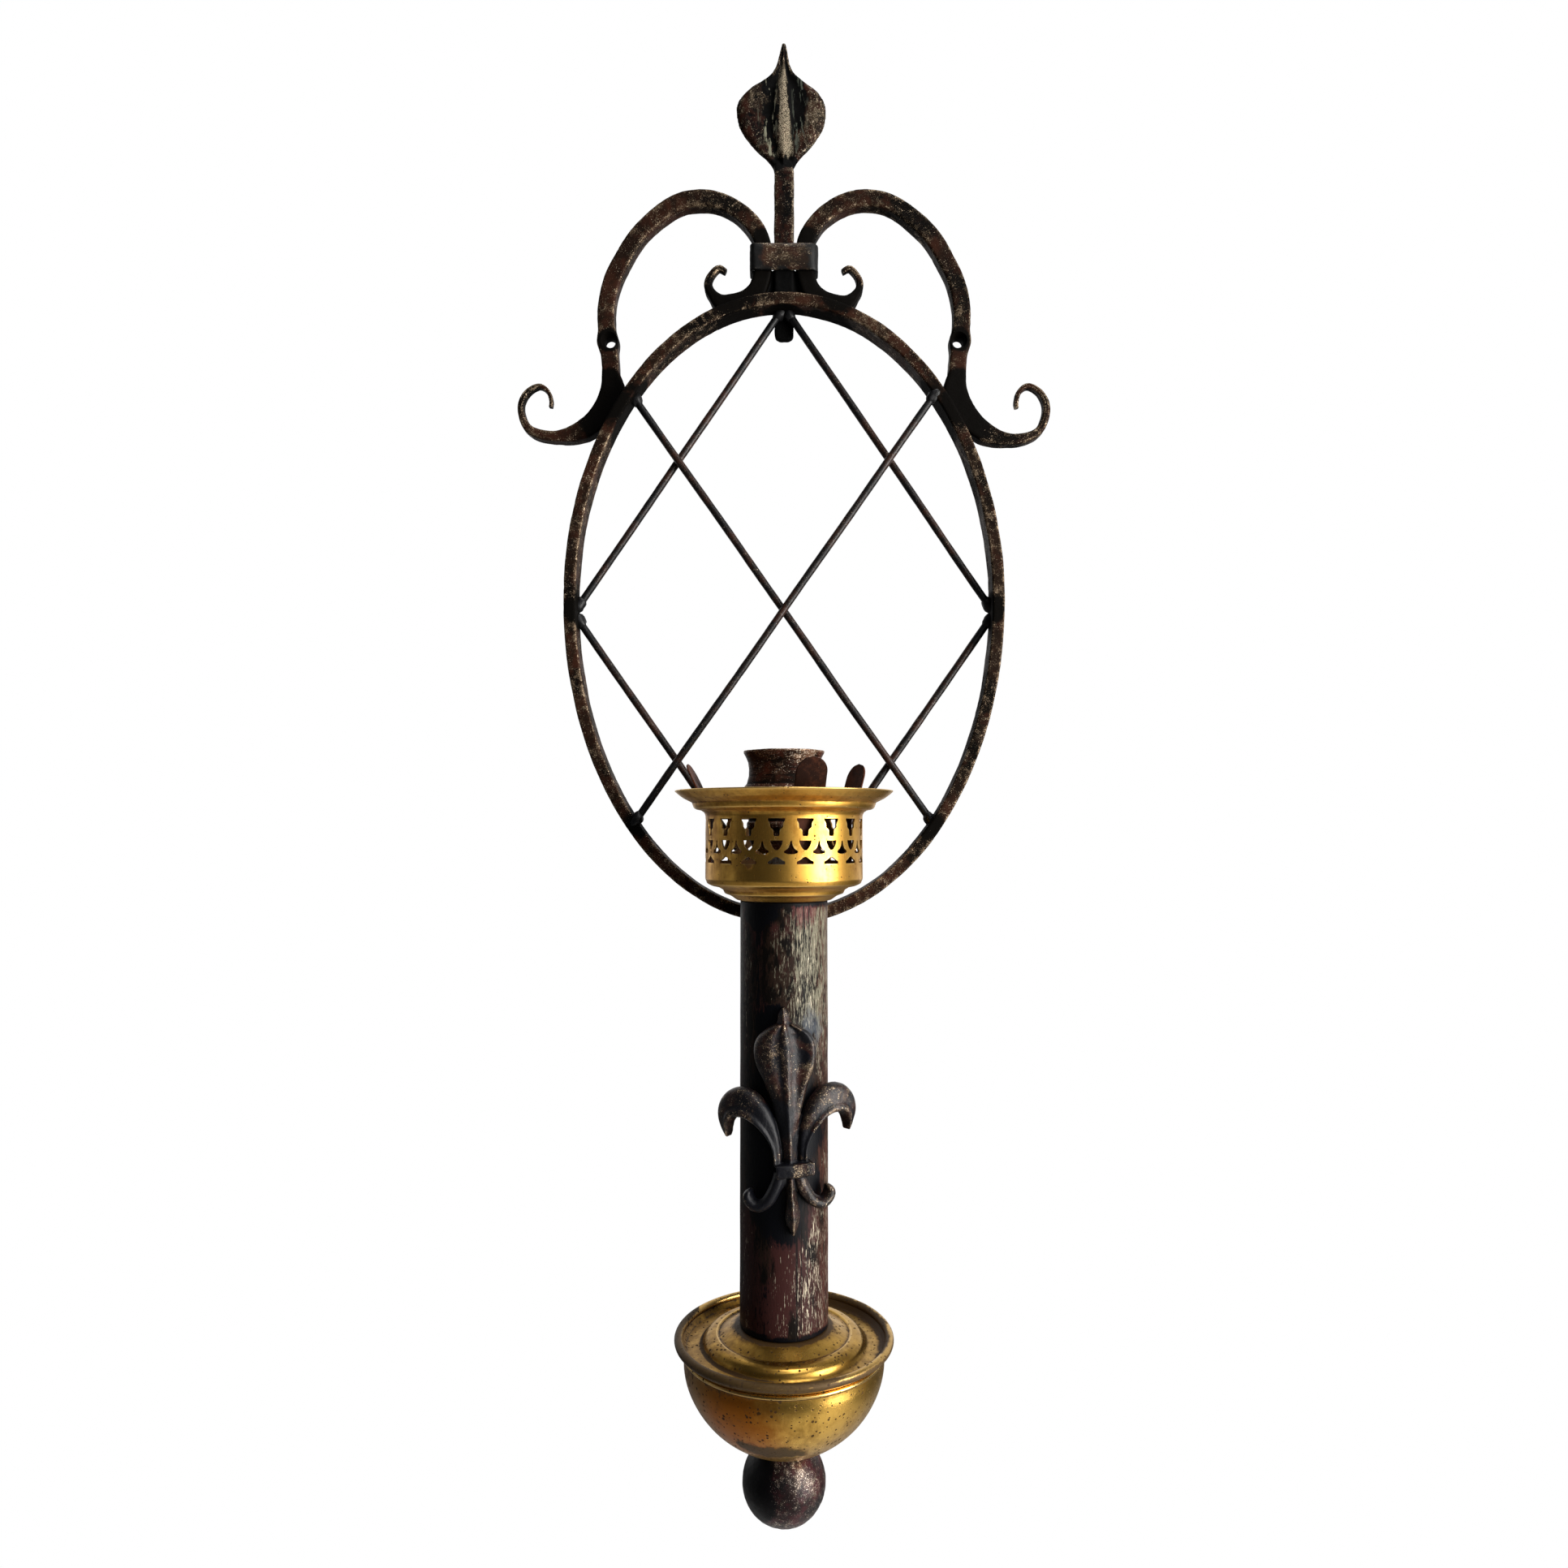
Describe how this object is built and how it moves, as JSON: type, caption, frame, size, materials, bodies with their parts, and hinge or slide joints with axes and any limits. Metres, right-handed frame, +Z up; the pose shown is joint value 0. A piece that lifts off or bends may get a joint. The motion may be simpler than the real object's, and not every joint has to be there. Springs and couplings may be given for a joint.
{
  "type": "wall sconce",
  "caption": "Wrought iron wall sconce with an oval lattice back, scrolled bars and leaf, a tube column with fleur-de-lis, and a pierced brass gallery round a lampholder.",
  "frame": {"origin": "on the wall plane, on the flat back of the centre stem where it passes behind the oval ring, level with the middle of the ring bar's top", "axes": "+X to the viewer's right, +Y into the wall, +Z up"},
  "size_m": [0.2598, 0.0979, 0.6871],
  "materials": {
    "black_iron": "forged iron, dark brown patina rubbed to bare metal on the edges",
    "tube_iron": "brushed iron tube, mottled brown and grey patina",
    "aged_brass": "spun brass, tarnished and pitted",
    "spring_strip": "brown oxidised spring strip",
    "bright_brass": "plain brass",
    "plated_steel": "dull plated steel",
    "porcelain": "glazed porcelain",
    "rubber": "moulded black rubber"
  },
  "bodies": {
    "wall_frame": {"oval_ring": "black_iron", "scroll_bar_left": "black_iron", "scroll_bar_right": "black_iron", "leaf_finial": "black_iron", "collar_band": "black_iron", "lattice_rod_top_left": "black_iron", "lattice_rod_top_right": "black_iron", "lattice_rod_bottom_left": "black_iron", "lattice_rod_bottom_right": "black_iron", "lattice_rod_cross_left": "black_iron", "lattice_rod_cross_right": "black_iron", "tube_standoff": "black_iron", "fleur_de_lis": "black_iron", "tube_plug_top": "black_iron", "tube_plug_bottom": "black_iron", "lampholder_cup": "black_iron", "column_tube": "tube_iron", "gallery": "aged_brass", "pan": "aged_brass", "bowl": "aged_brass", "chimney_spring": "spring_strip", "lampholder_screw_shell": "bright_brass", "centre_contact": "bright_brass", "terminal_screw_left": "bright_brass", "terminal_screw_right": "bright_brass", "lamp_rod": "plated_steel", "gallery_washer": "plated_steel", "gallery_nut": "plated_steel", "cup_nut": "plated_steel", "plug_nut": "plated_steel", "bowl_washer": "plated_steel", "bowl_nut": "plated_steel", "lampholder_insulator": "porcelain", "cable_bush": "rubber"},
    "finger_1": {"spring_finger_1": "spring_strip"},
    "finger_2": {"spring_finger_2": "spring_strip"},
    "finger_3": {"spring_finger_3": "spring_strip"},
    "ball": {"ball_finial": "black_iron"}
  },
  "joints": [
    {"name": "finger_1_flex", "type": "hinge", "parent": "wall_frame", "child": "finger_1", "pos_m": [0.01017, -0.08433, -0.2413], "axis": [0.9588, 0.284, 0], "range_deg": [-6, 8], "stiffness_Nm_per_rad": 0.3},
    {"name": "finger_2_flex", "type": "hinge", "parent": "wall_frame", "child": "finger_2", "pos_m": [0.03036, -0.03103, -0.2413], "axis": [-0.5299, 0.848, 0], "range_deg": [-6, 8], "stiffness_Nm_per_rad": 0.3},
    {"name": "finger_3_flex", "type": "hinge", "parent": "wall_frame", "child": "finger_3", "pos_m": [-0.03545, -0.04502, -0.2413], "axis": [-0.1392, -0.9903, 0], "range_deg": [-6, 8], "stiffness_Nm_per_rad": 0.3},
    {"name": "ball_turn", "type": "hinge", "parent": "wall_frame", "child": "ball", "pos_m": [0, -0.05, -0.533], "axis": [0, 0, 1], "continuous": true}
  ]
}
